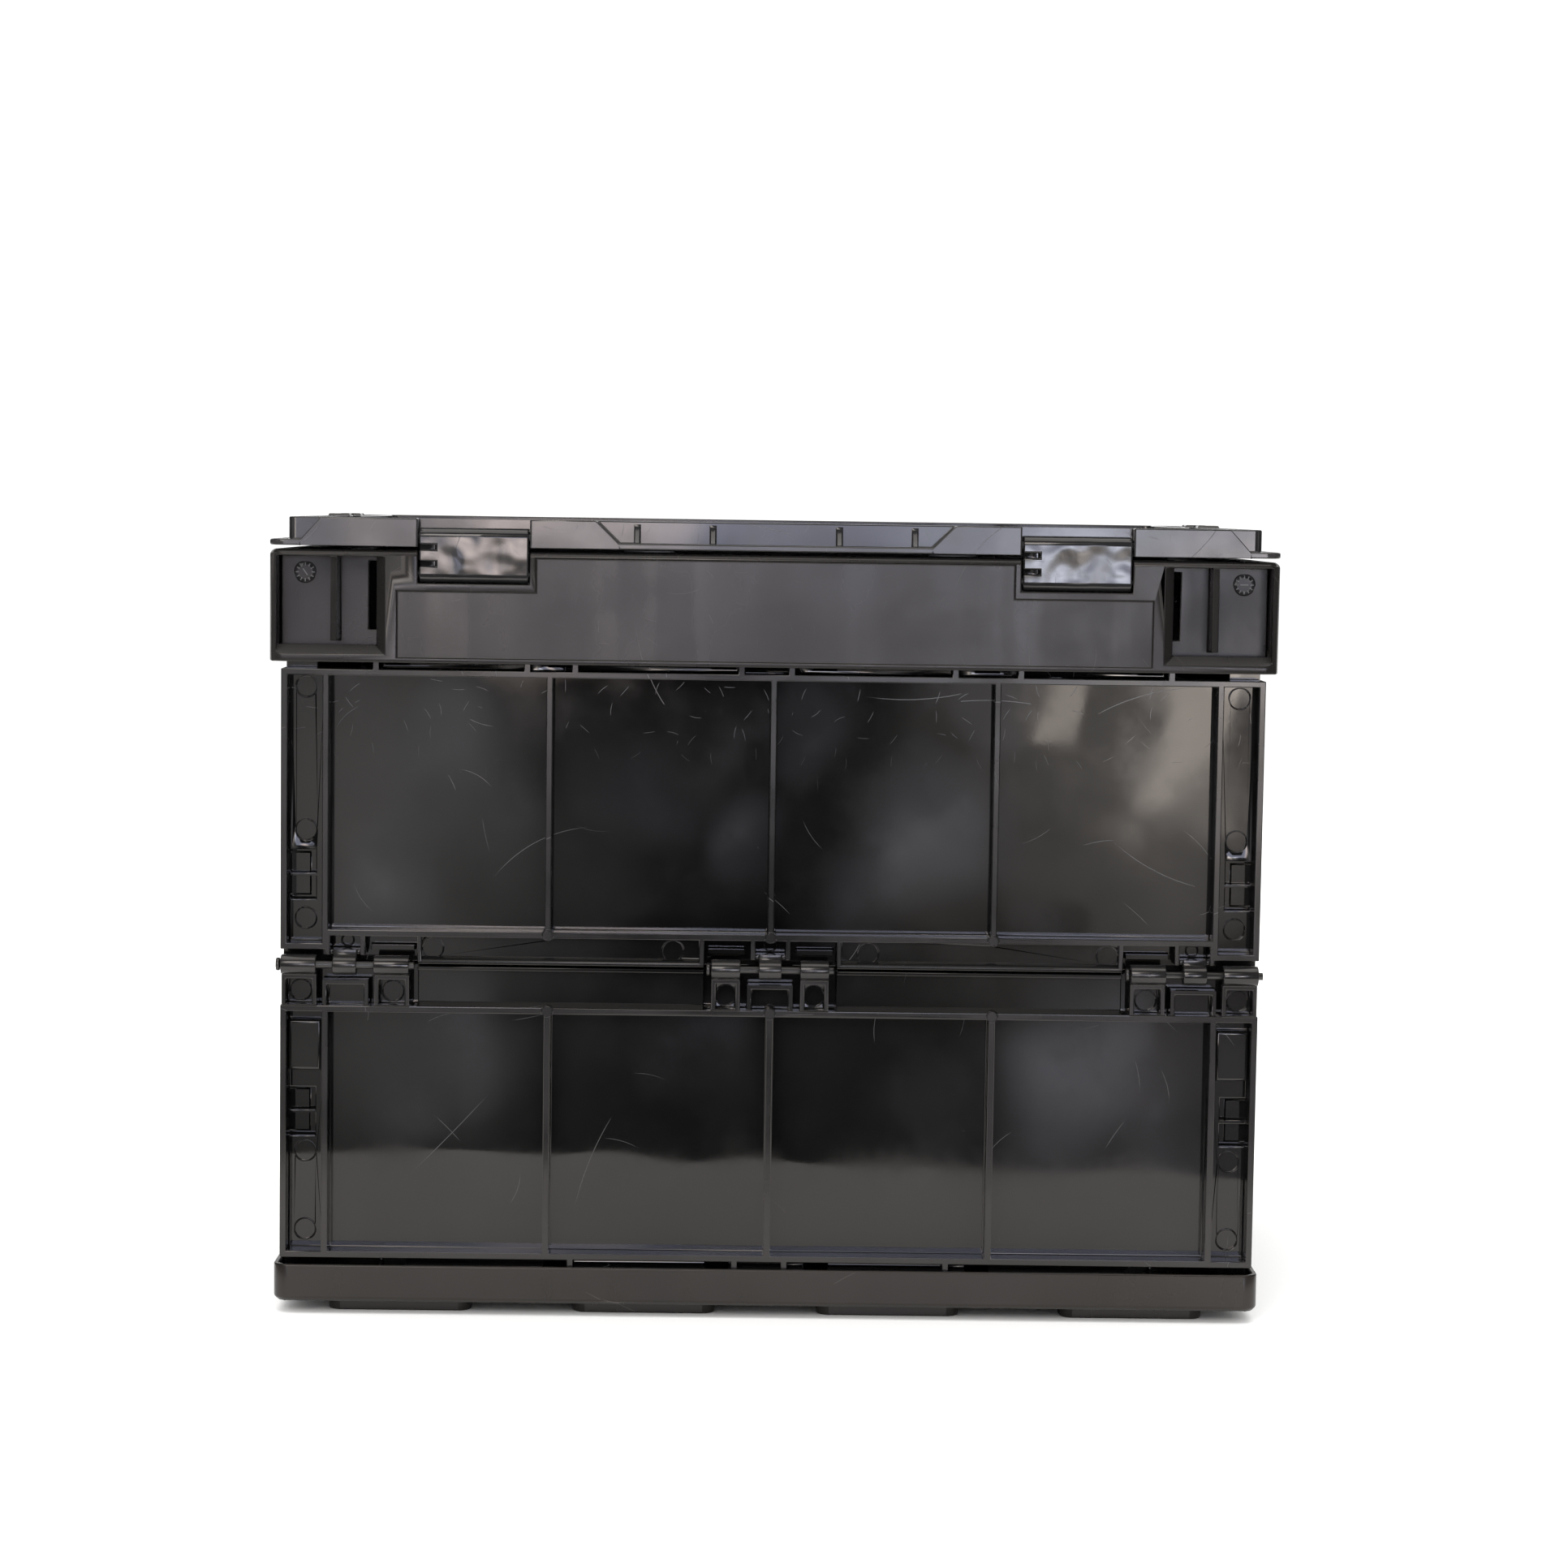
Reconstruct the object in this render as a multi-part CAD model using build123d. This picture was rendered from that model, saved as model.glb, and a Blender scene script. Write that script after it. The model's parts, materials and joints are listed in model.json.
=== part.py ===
"""Folding attached-lid container with mid-hinged long walls and two link-hinged lid flaps.

Millimetres, +Z up, +X along the long side. The origin is the centre of the footprint, on the
surface that the container stands on. The front long wall is on the -Y side. Rear pieces are
the front pieces turned half a turn about Z.
"""
from build123d import *
import os

# overall
overall_length = 400.0
overall_width = 300.0
overall_height = 320.0
skin = 2.5
rib = 2.5
moulded_gap = 0.5
overlap = 1.0  # how far a cut runs past a face, and a joined piece into its neighbour

# base tray
foot_height = 5.0
foot_size = 57.5
foot_wall = 2.5
foot_columns = 4
foot_rows = 3
foot_corner_radius = 5.0
foot_end_clearance = 4.35
foot_side_clearance = 0.6
base_inset = 2.0
base_wall = 2.2
base_rim_height = 15.0
base_corner_radius = 6.0
base_chamfer = 1.5
base_rib_height = 1.5

# folding wall panels
wall_thickness = 12.5
wall_end_clearance = 0.3
barrel_floor_gap = 0.25
panel_end_from_pivot = 8.5
panel_top_from_pivot = 9.0
fold_gap = 1.0
lower_panel_drop = 19.0
upper_panel_rise = 11.5
side_zone_width = 19.0
bay_rib_places = (-89.0, 0.0, 89.0)
peg_radius = 2.5
running_clearance = 0.05
barrel_setback = 39.5
lug_width = 8.0
lug_radius = 4.5
lug_side_gap = 0.75
inner_lug_places = (20.0, 85.0)
outer_lug_setback = 6.0
lower_tab_places = (-79.0, -13.0, 7.0, 72.0)
upper_tab_places = (-98.0, -79.0, -13.0, 7.0, 72.0, 98.0)
end_tab_setback = 37.5
tab_width = 2.5
nub_radius = 2.2
nub_proud = 0.3

# bands beside the mid hinge
band_setback = 3.0
band_wall = 2.5
lower_band_setback = 5.0
band_end_from_knuckles = 3.0
side_zone_rise = 6.0
strip_height = 1.6
strip_slope = 1.6
bracket_half = 7.9
bracket_rib = 1.8
knuckle_root_height = 6.0
knuckle_web = 2.0
root_bite = 0.2
ledge_rise = 7.5
box_half = 9.2
box_drop = 6.3
square_border = 1.8
square_depth = 6.5

# mid hinge, measured in from a wall's end and out from its middle
knuckle_radius = 4.0
knuckle_proud = 0.3
knuckle_clearance = 0.3
rod_radius = 1.5
rod_head_radius = 2.6
rod_head_length = 1.5
rod_overhang = 2.0
end_knuckles = ((0.5, 14.5), (21.2, 30.5), (37.5, 51.5))
centre_knuckles = ((-23.5, -12.0), (-4.5, 4.5), (12.0, 23.5))

# windows and marks in the side zones, measured in from a wall's end
window_out_setback = 2.5
window_in_setback = 13.0
upper_window_rise = (25.0, 45.0)
lower_window_drop = (71.0, 51.0)
window_bar = 1.2
pad_in_setback = 16.0
pad_drop = (43.5, 23.0)
pad_depth = 5.0
pad_radius = 1.5
mark_radius = 4.3
small_mark_radius = 2.4
mark_depth = 0.3
mark_setback = 9.0
mark_from_panel_end = (7.5, 9.5)
mark_rises = (53.0, 17.5)
mark_drop = 77.0
band_mark_insets = (12.5, 6.0)

# top frame
frame_height = 44.3
frame_pivot_rise = 6.0
frame_wall = 2.5
frame_edge_radius = 2.5
frame_corner_radius = 6.0
frame_opening_setback = 20.0
frame_inner_wall = 2.0
frame_inner_clearance = 1.4
frame_inner_rise = 12.5
curtain_rise = 2.0
corner_window_out_setback = 3.0
corner_window_in_setback = 42.0
corner_window_rise = 7.0
corner_window_flare = 4.0
corner_window_depth = 4.2
window_overcut = 0.01
corner_slot_width = 4.0
corner_web_from_window = 15.4
corner_web_width = 2.6
dial_setback = 12.5
dial_drop = 9.3
dial_radius = 4.0
dial_groove_width = 0.5
dial_groove_depth = 0.25
label_end_gap = 4.5
label_depth = 0.5
label_rise = 2.0
label_wing_drop = 16.0
rest_pad_places = (-60.0, 60.0)
rest_pad_length = 20.0
rest_pad_width = 3.0
rest_pad_gap = 0.2

# end walls
end_wall_clearance = 1.4
end_wall_lift = 1.5
left_pivot_drop = 10.3
right_pivot_drop = 23.8
end_panel_drop = 12.0
inner_end_lug_place = 35.0
outer_end_lug_setback = 25.0
end_rib_places = (-88.0, -44.0, 0.0, 44.0, 88.0)
end_cross_rib_pitch = 66.0
grip_width = 104.0
grip_height = 30.0
grip_drop = 84.3
grip_corner = 8.0
end_lock_height = 17.0
end_lock_thickness = 10.0
end_lock_proud = 1.0

# lid flaps
lid_gap = 1.5
lid_rim_height = 11.2
lid_deck_depth = 5.0
lid_lip_thickness = 2.4
lid_ring_setback = 7.0
lid_end_rim_width = 12.0
lid_side_rim_width = 2.4
lid_wall = 2.3
lid_edge_radius = 0.5
lid_ring_corner = 3.0
lid_hollow_corner = 2.0
lid_meeting_gap = 1.0
lid_tooth_pitch = 50.0
lid_tooth_depth = 6.0
lid_tooth_slope = 6.0
lid_rib_places = (-144.0, -96.0, -48.0, 0.0, 48.0, 96.0, 144.0)
lid_cross_rib_places = (-88.0, -44.0)
lid_rib = 1.8
lid_rib_lift = 0.2
block_end_setback = (12.5, 20.5)
block_inner_reach = (35.0, 26.0)
gusset_places = (-55.0, -25.0, 25.0, 55.0)
seal_lug_proud = 1.0
seal_lug_inset = 6.5
seal_lug_width = 9.0
seal_lug_length = 14.0
seal_lug_setback = 14.0
seal_hole_radius = 2.0

# link hinges, measured in from the frame's ends and down from its top
link_notch_setback = (103.0, 58.7)
link_side_gap = 0.6
link_radius = 3.6
link_axis_inset = 3.8
link_axis_drop = 9.1
link_pivot_distance = 14.6
link_clearance = 0.3
link_back_gap = 0.5
link_tab_length = 6.7
link_groove = 2.2
link_tongue = 4.3
link_groove_depth = 3.2
link_pin_radius = 1.5
pin_grip = 2.4
pin_end_gap = 0.2
cheek = 3.0

# heights of the lid and frame
half_length = overall_length / 2
half_width = overall_width / 2
lid_ring_top = overall_height - seal_lug_proud
lid_deck_top = lid_ring_top - lid_deck_depth
lid_lip_bottom = lid_ring_top - lid_rim_height
lip_top = lid_lip_bottom + lid_lip_thickness
frame_top = lid_lip_bottom - lid_gap
frame_bottom = frame_top - frame_height
flange_bottom = frame_top - frame_wall
frame_inner_bottom = frame_bottom + frame_inner_rise
corner_window_bottom = frame_bottom + corner_window_rise
left_pivot_height = frame_top - left_pivot_drop
right_pivot_height = frame_top - right_pivot_drop
top_pivot_height = frame_bottom + frame_pivot_rise

# base tray and its feet, which nest in the lid's rim
base_half_x = half_length - base_inset
base_half_y = half_width - base_inset
base_rim_top = foot_height + base_rim_height
floor_top = foot_height + skin
ring_outer_x = half_length - lid_ring_setback
ring_outer_y = half_width - lid_ring_setback
ring_inner_x = ring_outer_x - lid_end_rim_width
ring_inner_y = ring_outer_y - lid_side_rim_width
foot_column_pitch = 2 * (ring_inner_x - foot_end_clearance - foot_size / 2) / (foot_columns - 1)
foot_row_pitch = 2 * (ring_inner_y - foot_side_clearance - foot_size / 2) / (foot_rows - 1)

# long walls
barrel_radius = wall_thickness / 2
base_pivot_height = floor_top + barrel_floor_gap + barrel_radius
wall_half_length = base_half_x - base_wall - wall_end_clearance
barrel_half_length = wall_half_length - barrel_setback
wall_outer = base_half_y - base_wall - moulded_gap
wall_inner = wall_outer - wall_thickness
wall_pivot_y = wall_outer - barrel_radius
skin_outer = wall_inner + skin
ribs_from = base_pivot_height + panel_end_from_pivot
ribs_to = top_pivot_height - panel_top_from_pivot
fold_height = (base_pivot_height + top_pivot_height) / 2
fold_y = wall_outer + knuckle_proud
lower_panel_to = fold_height - lower_panel_drop
upper_panel_from = fold_height + upper_panel_rise
side_zone_bottom = fold_height + side_zone_rise
side_knuckles = [(a - wall_half_length, b - wall_half_length) for a, b in end_knuckles]
one_side_lugs = (*inner_lug_places, barrel_half_length - outer_lug_setback)
lug_places = [side * x for side in (-1, 1) for x in one_side_lugs]
end_tab_place = wall_half_length - end_tab_setback
window_in = wall_half_length - window_in_setback
window_out = wall_half_length - window_out_setback
upper_window = [fold_height + rise for rise in upper_window_rise]
lower_window = [fold_height - drop for drop in lower_window_drop]
mark_x = wall_half_length - mark_setback
upper_marks = [ribs_to - mark_from_panel_end[0]] + [fold_height + rise for rise in mark_rises]
lower_marks = [ribs_from + mark_from_panel_end[1], fold_height - mark_drop]

# end walls
end_outer = base_half_x - base_wall - moulded_gap
end_inner = end_outer - wall_thickness
end_pivot_x = end_outer - barrel_radius
end_skin_outer = end_inner + skin
end_wall_bottom = floor_top + end_wall_lift
frame_inner_face = wall_inner - frame_inner_clearance
end_half_width = frame_inner_face - end_wall_clearance
outer_end_lug_place = end_half_width - outer_end_lug_setback
end_lug_places = (-outer_end_lug_place, -inner_end_lug_place, inner_end_lug_place, outer_end_lug_place)
end_cross_ribs = [fold_height + step * end_cross_rib_pitch for step in (-1, 0, 1)]
grip_bottom = frame_top - grip_drop

# fits and hinges
hole_radius = peg_radius + running_clearance
rod_hole = rod_radius + running_clearance
pin_hole = link_pin_radius + running_clearance
lug_gap = lug_width / 2 + lug_side_gap
corner_window_out = half_length - corner_window_out_setback
corner_window_in = half_length - corner_window_in_setback
link_notch = [half_length - setback for setback in link_notch_setback]
link_axis_y = half_width - link_axis_inset
link_lower_axis = frame_top - link_axis_drop
link_upper_axis = link_lower_axis + link_pivot_distance
link_reach = link_radius + link_clearance


def block(x0, x1, y0, y1, z0, z1):
    """A plain block between two corners."""
    size = (abs(x1 - x0), abs(y1 - y0), abs(z1 - z0))
    return Pos((x0 + x1) / 2, (y0 + y1) / 2, (z0 + z1) / 2) * Box(*size)


def rod_x(x0, x1, y, z, radius):
    """A round bar along X."""
    return Pos((x0 + x1) / 2, y, z) * Rot(0, 90, 0) * Cylinder(radius, abs(x1 - x0))


def rod_y(x, y0, y1, z, radius):
    """A round bar along Y."""
    return Pos(x, (y0 + y1) / 2, z) * Rot(90, 0, 0) * Cylinder(radius, abs(y1 - y0))


def prism_x(points, x0, x1):
    """An outline in Y and Z, drawn along X."""
    outline = make_face(Polyline(*[(x0, y, z) for y, z in points], close=True))
    return extrude(outline, amount=x1 - x0, dir=(1, 0, 0))


def prism_z(points, z0, z1):
    """An outline in X and Y, drawn up Z."""
    outline = make_face(Polyline(*[(x, y, z0) for x, y in points], close=True))
    return extrude(outline, amount=z1 - z0, dir=(0, 0, 1))


def prism_y(points, y0, y1):
    """An outline in X and Z, drawn along Y."""
    outline = make_face(Polyline(*[(x, y0, z) for x, z in points], close=True))
    return extrude(outline, amount=y1 - y0, dir=(0, 1, 0))


def rounded_box(half_x, half_y, z0, z1, radius):
    """An upright box with rounded vertical corners, centred on the origin."""
    plate = RectangleRounded(2 * half_x, 2 * half_y, radius)
    return Pos(0, 0, z0) * extrude(plate, amount=z1 - z0)


def both_sides(low, high):
    """The stretch low..high and its mirror image about zero."""
    return ((low, high), (-high, -low))


def turned(shape):
    """The same piece on the opposite long side."""
    return Rot(0, 0, 180) * shape


def base_tray():
    """Floor, low rim, ring feet and the pivot lugs of the long walls."""
    tray = rounded_box(base_half_x, base_half_y, foot_height, base_rim_top, base_corner_radius)
    tray = chamfer(tray.edges().group_by(Axis.Z)[0], base_chamfer)
    inner_x = base_half_x - base_wall
    inner_y = base_half_y - base_wall
    inner_radius = base_corner_radius - base_wall
    tray -= rounded_box(inner_x, inner_y, floor_top, base_rim_top + overlap, inner_radius)
    feet = []
    for column in range(foot_columns):
        for row in range(foot_rows):
            x = (column - (foot_columns - 1) / 2) * foot_column_pitch
            y = (row - (foot_rows - 1) / 2) * foot_row_pitch
            ring = RectangleRounded(foot_size, foot_size, foot_corner_radius)
            ring -= offset(ring, -foot_wall)
            feet.append(Pos(x, y, 0) * extrude(ring, amount=foot_height))
            cross = block(x - foot_size / 2, x + foot_size / 2, y - rib / 2, y + rib / 2,
                          foot_height - base_rib_height, foot_height)
            feet.append(cross)
    lugs = []
    for side in (-1, 1):
        y = side * wall_pivot_y
        for x in lug_places:
            stem = block(x - lug_width / 2, x + lug_width / 2, y - lug_radius, y + lug_radius,
                         foot_height + skin / 2, base_pivot_height)
            eye = rod_x(x - lug_width / 2, x + lug_width / 2, y, base_pivot_height, lug_radius)
            bore = rod_x(x - lug_width, x + lug_width, y, base_pivot_height, hole_radius)
            lugs.append(stem + eye - bore)
    return tray + feet + lugs


def barrel_with_pegs(y, z, side_of_panel):
    """A full-round edge of a long wall, gapped at the lugs, with a peg across each gap."""
    bar = rod_x(-barrel_half_length, barrel_half_length, y, z, barrel_radius)
    neck_end = z + side_of_panel * (barrel_radius + skin)
    bar += block(-barrel_half_length, barrel_half_length, y, -wall_inner, z, neck_end)
    deep = barrel_radius + overlap
    gaps = [block(x - lug_gap, x + lug_gap, y - deep, y + deep, z - deep, z + deep)
            for x in lug_places]
    pegs = rod_x(-barrel_half_length, barrel_half_length, y, z, peg_radius)
    return bar - gaps + pegs


def panel_ribs(z0, z1, zone_end):
    """The ribs that stand out from a wall panel, with its border.

    The bays lie between z0 and z1, and the side zones reach from zone_end to z1 or z0.
    """
    zone = wall_half_length - side_zone_width
    low, high = min(z0, zone_end), max(z1, zone_end)
    ribs = [block(-zone, zone, -wall_outer, -skin_outer, z0, z0 + rib),
            block(-zone, zone, -wall_outer, -skin_outer, z1 - rib, z1)]
    for x0, x1 in both_sides(zone, wall_half_length):
        ribs.append(block(x0, x1, -wall_outer, -skin_outer, low, low + rib))
        ribs.append(block(x0, x1, -wall_outer, -skin_outer, high - rib, high))
    for x0, x1 in both_sides(zone, zone + rib) + both_sides(wall_half_length - rib, wall_half_length):
        ribs.append(block(x0, x1, -wall_outer, -skin_outer, low, high))
    for x in bay_rib_places:
        ribs.append(block(x - rib / 2, x + rib / 2, -wall_outer, -skin_outer, z0, z1))
    return ribs


def junction_nubs(z):
    """Round nubs where the bay ribs meet a border."""
    return [rod_y(x, -wall_outer - nub_proud, -skin_outer, z, nub_radius) for x in bay_rib_places]


def band_spans():
    """The stretches of wall between the hinge groups."""
    side_end = side_knuckles[2][1] + band_end_from_knuckles
    centre_end = centre_knuckles[2][1] + band_end_from_knuckles
    return both_sides(centre_end, -side_end)


def knuckle(stretch, z_root):
    """One hinge knuckle and the block that carries it, out from the panel at z_root."""
    x0, x1 = stretch
    eye = rod_x(x0, x1, -fold_y, fold_height, knuckle_radius)
    root = block(x0, x1, -wall_outer, -skin_outer + root_bite, z_root, fold_height)
    stem = block(x0, x1, -fold_y, -wall_outer + knuckle_radius, z_root, fold_height)
    return eye + root + stem


def all_knuckles(index):
    """The stretches of the outer (0, 2) or middle (1) knuckles in every hinge group."""
    stretches = []
    for i in index:
        stretches.append(centre_knuckles[i])
        x0, x1 = side_knuckles[i]
        stretches += [(x0, x1), (-x1, -x0)]
    return stretches


def marks(heights):
    """Shallow round ejector marks in the side zones."""
    return [mark(x, z, skin_outer, mark_radius) for z in heights for x in (-mark_x, mark_x)]


def mark(x, z, face, radius):
    """A round ejector mark, sunk into a front face that stands at this distance from the centre."""
    return rod_y(x, -face - mark_depth, -face + mark_depth, z, radius)


def window_cuts(heights, inner, outer):
    """A pair of see-through windows in each side zone, split by a thin bar."""
    z0, z1 = heights
    middle = (z0 + z1) / 2
    cuts = []
    for x0, x1 in both_sides(inner, outer):
        for low, high in ((z0, middle - window_bar / 2), (middle + window_bar / 2, z1)):
            cuts.append(block(x0, x1, -wall_outer, -wall_inner + overlap, low, high))
    return cuts


def gap_tabs(places, z0, z1):
    """Short upright tabs between the panel border and its pivot edge."""
    return [block(x - tab_width / 2, x + tab_width / 2, -wall_outer, -skin_outer, z0, z1)
            for x in places]


def rod_bore():
    """The bore of the mid hinge, right along a wall."""
    return rod_x(-half_length, half_length, -fold_y, fold_height, rod_hole)


def sweep_room(index):
    """The room that the other panel's knuckles turn in."""
    reach = knuckle_radius + knuckle_clearance
    return [rod_x(x0 - moulded_gap, x1 + moulded_gap, -fold_y, fold_height, reach)
            for x0, x1 in all_knuckles(index)]


def front_lower_wall():
    """Lower half of a long wall: skin, ribs, base barrel and the outer hinge knuckles."""
    top = fold_height - fold_gap / 2
    border = lower_panel_to + rib
    wall = block(-wall_half_length, wall_half_length, -skin_outer, -wall_inner,
                 ribs_from, top)
    wall += barrel_with_pegs(-wall_pivot_y, base_pivot_height, 1)
    wall += panel_ribs(ribs_from, border, border)
    wall += gap_tabs(lower_tab_places, base_pivot_height + peg_radius, ribs_from)
    wall += junction_nubs(border - rib / 2)
    band_face = wall_outer - lower_band_setback
    for x0, x1 in band_spans():
        wall += prism_x([(-wall_outer, border - overlap), (-band_face, border + strip_slope),
                         (-band_face, top - strip_height), (-band_face - rib, top - strip_height),
                         (-band_face - rib, top), (-skin_outer, top),
                         (-skin_outer, border - overlap)], x0, x1)
    wall -= sweep_room((1,))
    squares = []
    for x0, x1 in all_knuckles((0, 2)):
        wall += knuckle((x0, x1), border)
        square_top = fold_height - knuckle_radius - square_border
        wall -= block(x0 + square_border, x1 - square_border, -wall_outer - overlap,
                      -wall_outer + square_depth, border + moulded_gap, square_top)
        squares.append(mark((x0 + x1) / 2, (border + square_top) / 2, wall_outer - square_depth,
                            mark_radius))
    for x0, x1 in all_knuckles((1,)):
        middle = (x0 + x1) / 2
        box_top = fold_height - box_drop
        box = block(middle - box_half, middle + box_half, -wall_outer + overlap, -skin_outer,
                    border, box_top)
        inside = box_half - square_border
        wall += box - block(middle - inside, middle + inside, -wall_outer, -wall_outer + square_depth,
                            border, box_top - square_border)
    for x0, x1 in both_sides(wall_half_length - pad_in_setback, window_out):
        pad_heights = [fold_height - drop for drop in pad_drop]
        pad = block(x0, x1, -skin_outer - pad_depth, -skin_outer, *pad_heights)
        wall += fillet(pad.edges().group_by(Axis.Y)[0], pad_radius)
    wall -= window_cuts(lower_window, window_in, window_out)
    return wall - marks(lower_marks) - squares - rod_bore()


def front_upper_wall():
    """Upper half of a long wall: skin, ribs, frame barrel and the middle hinge knuckles."""
    bottom = fold_height + fold_gap / 2
    wall = block(-wall_half_length, wall_half_length, -skin_outer, -wall_inner,
                 bottom, ribs_to)
    wall += barrel_with_pegs(-wall_pivot_y, top_pivot_height, -1)
    wall += panel_ribs(upper_panel_from, ribs_to, side_zone_bottom)
    tabs = (-end_tab_place, *upper_tab_places, end_tab_place)
    wall += gap_tabs(tabs, ribs_to, top_pivot_height - peg_radius)
    wall += junction_nubs(upper_panel_from + rib / 2)
    band_face = wall_outer - band_setback
    for x0, x1 in band_spans():
        wall += prism_x([(-band_face, upper_panel_from + overlap),
                         (-band_face, bottom + strip_height + strip_slope),
                         (-wall_outer, bottom + strip_height), (-wall_outer, bottom), (-skin_outer, bottom),
                         (-skin_outer, bottom + rib), (-band_face + band_wall, bottom + rib + overlap),
                         (-band_face + band_wall, upper_panel_from + overlap)], x0, x1)
        for x in (x0, x1 - bracket_rib):
            wall += block(x, x + bracket_rib, -wall_outer, -skin_outer, bottom, upper_panel_from + overlap)
    wall -= sweep_room((0, 2))
    small = []
    for x0, x1 in all_knuckles((1,)):
        middle = (x0 + x1) / 2
        root_top = fold_height + knuckle_root_height
        wall += block(x0, x1, -fold_y, -skin_outer, fold_height, root_top)
        wall += rod_x(x0, x1, -fold_y, fold_height, knuckle_radius)
        for x in (middle - bracket_half, middle + bracket_half - bracket_rib):
            wall += block(x, x + bracket_rib, -wall_outer, -skin_outer, root_top - knuckle_web,
                          upper_panel_from + overlap)
        wall += block(middle - bracket_half, middle + bracket_half, -wall_outer + overlap, -skin_outer,
                      root_top - knuckle_web, root_top)
        small.append(mark(middle, (root_top + upper_panel_from) / 2, skin_outer, small_mark_radius))
    for x0, x1 in all_knuckles((0, 2)):
        if abs(x0 + x1) / 2 < wall_half_length - side_zone_width:
            wall += block(x0 - bracket_rib, x1 + bracket_rib, -wall_outer + knuckle_radius, -skin_outer,
                          fold_height + ledge_rise - bracket_rib, fold_height + ledge_rise)
    near, far = band_mark_insets
    start, end = band_spans()[0]
    for x in (start + near, end - far, -start - near, far - end):
        small.append(mark(x, (bottom + upper_panel_from + strip_height) / 2, band_face, mark_radius))
    wall -= window_cuts(upper_window, window_in, window_out)
    return wall - marks(upper_marks) - small - rod_bore()


def hinge_rods():
    """The three steel rods of a mid hinge, each with a head at its left end."""
    rods = []
    x_left = side_knuckles[0][0] - rod_overhang
    x_right = side_knuckles[2][1] + rod_overhang
    x_middle = centre_knuckles[2][1] + rod_overhang
    spans = [(x_left, x_right), (-x_middle, x_middle), (-x_right, -x_left)]
    for x0, x1 in spans:
        rod = rod_x(x0, x1, -fold_y, fold_height, rod_radius)
        rods.append(rod + rod_x(x0, x0 + rod_head_length, -fold_y, fold_height, rod_head_radius))
    return rods


def corner_window(x_sign):
    """The flared opening in the frame's skirt near a corner."""
    out = corner_window_out
    flare = corner_window_flare
    front = [(corner_window_in - flare, corner_window_bottom - flare), (out, corner_window_bottom - flare),
             (out, flange_bottom), (corner_window_in - flare, flange_bottom)]
    back = [(corner_window_in, corner_window_bottom), (out, corner_window_bottom),
            (out, flange_bottom), (corner_window_in, flange_bottom)]
    faces = []
    y_front = -half_width - window_overcut
    y_back = -half_width + corner_window_depth + window_overcut
    for outline, y in ((front, y_front), (back, y_back)):
        faces.append(make_face(Polyline(*[(x_sign * x, y, z) for x, z in outline], close=True)))
    return loft(faces)


def frame_side(frame):
    """Cuts and adds one long side's windows, notches, lugs and inner wall (the front one)."""
    for side in (-1, 1):
        x_far = side * (half_length - overlap)
        x_near = side * (corner_window_in - corner_window_flare - cheek)
        frame += block(x_far, x_near, -half_width + overlap, -half_width + corner_window_depth,
                       frame_bottom, flange_bottom + overlap)
        frame -= corner_window(side)
        web_in = corner_window_in + corner_web_from_window
        frame += block(side * web_in, side * (web_in + corner_web_width), -half_width + corner_window_depth,
                       -frame_inner_face, corner_window_bottom + rib / 2, flange_bottom + overlap)
    frame += block(-corner_window_out, corner_window_out, -frame_inner_face - frame_inner_wall,
                   -frame_inner_face, frame_inner_bottom, flange_bottom + overlap)
    for x0, x1 in both_sides(corner_window_in, corner_window_in + corner_slot_width):
        frame -= block(x0, x1, -frame_inner_face - frame_inner_wall - overlap, -frame_inner_face + overlap,
                       frame_inner_bottom, flange_bottom - frame_inner_wall)
    for x0, x1 in both_sides(barrel_half_length + overlap, corner_window_out):
        frame += block(x0, x1, -frame_inner_face - frame_inner_wall, -frame_inner_face,
                       frame_bottom + curtain_rise, frame_inner_bottom)
    dial_x = half_length - dial_setback
    dial_height = frame_top - dial_drop
    for x in (-dial_x, dial_x):
        ring_y = -frame_inner_face - frame_inner_wall
        frame -= rod_y(x, ring_y - overlap, ring_y + dial_groove_depth, dial_height, dial_radius)
        frame += rod_y(x, ring_y, ring_y + 2 * dial_groove_depth, dial_height,
                       dial_radius - dial_groove_width)
    for x in lug_places:
        stem = block(x - lug_width / 2, x + lug_width / 2, -wall_pivot_y - lug_radius,
                     -wall_pivot_y + lug_radius, top_pivot_height, flange_bottom + overlap)
        eye = rod_x(x - lug_width / 2, x + lug_width / 2, -wall_pivot_y, top_pivot_height, lug_radius)
        frame += stem + eye
        frame -= rod_x(x - lug_width, x + lug_width, -wall_pivot_y, top_pivot_height, hole_radius)
    label_bottom = frame_bottom + label_rise
    label_face = -half_width + label_depth
    label_end = corner_window_in - corner_window_flare - label_end_gap
    label_step = link_notch[0] - rib
    wing_top = frame_top - label_wing_drop
    frame -= block(-label_end, label_end, -half_width - overlap, label_face, label_bottom, wing_top)
    frame -= block(-label_step, label_step, -half_width - overlap, label_face, label_bottom, flange_bottom)
    floor_z = link_lower_axis - link_reach
    back_y = -link_axis_y + link_reach + link_back_gap
    for x0, x1 in both_sides(*link_notch):
        frame += block(x0 - cheek, x1 + cheek, label_face, back_y + cheek,
                       floor_z - cheek, flange_bottom + overlap)
        frame -= block(x0, x1, -half_width - overlap, back_y, floor_z, frame_top + overlap)
        frame -= rod_x(x0 - pin_grip, x1 + pin_grip, -link_axis_y, link_lower_axis, pin_hole)
    for x in rest_pad_places:
        frame += block(x, x + rest_pad_length, -ring_inner_y - rest_pad_width, -ring_inner_y,
                       flange_bottom + overlap, lid_lip_bottom - rest_pad_gap)
    return frame


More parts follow.
